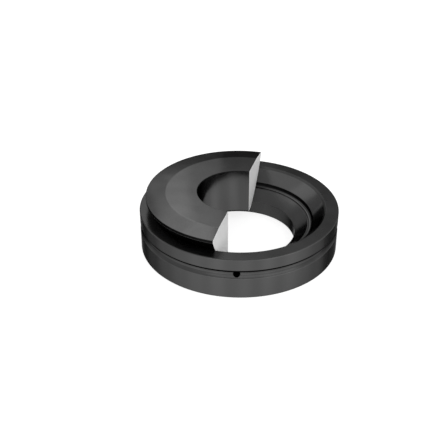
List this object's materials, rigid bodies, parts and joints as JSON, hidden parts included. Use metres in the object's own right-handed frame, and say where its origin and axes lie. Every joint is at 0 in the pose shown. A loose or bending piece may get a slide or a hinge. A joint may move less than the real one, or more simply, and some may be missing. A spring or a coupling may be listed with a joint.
{
  "type": "thrust spherical plain bearing, cutaway",
  "caption": "Angular-aligning thrust bearing: a half-cut shaft washer with a convex sphere seats in a grooved housing washer with a concave raceway.",
  "frame": {"origin": "on the bearing's axis, at the bottom face of the housing washer", "axes": "+Z runs along the bearing's axis from the housing towards the shaft; the cutaway's cut faces lie in the YZ plane, and the half of the shaft washer that is left lies on the -X side"},
  "size_m": [0.12, 0.12, 0.0353],
  "materials": {
    "dark_steel": "ground and phosphated bearing steel, dark satin grey; the cut faces of the cutaway are painted pale grey"
  },
  "bodies": {
    "housing": {"housing_washer": "dark_steel"},
    "shaft": {"shaft_washer": "dark_steel"}
  },
  "joints": [
    {"name": "tilt", "type": "hinge", "parent": "housing", "child": "shaft", "pos_m": [0, 0, 0.06306], "axis": [1, 0, 0], "range_deg": [-7, 7]}
  ]
}
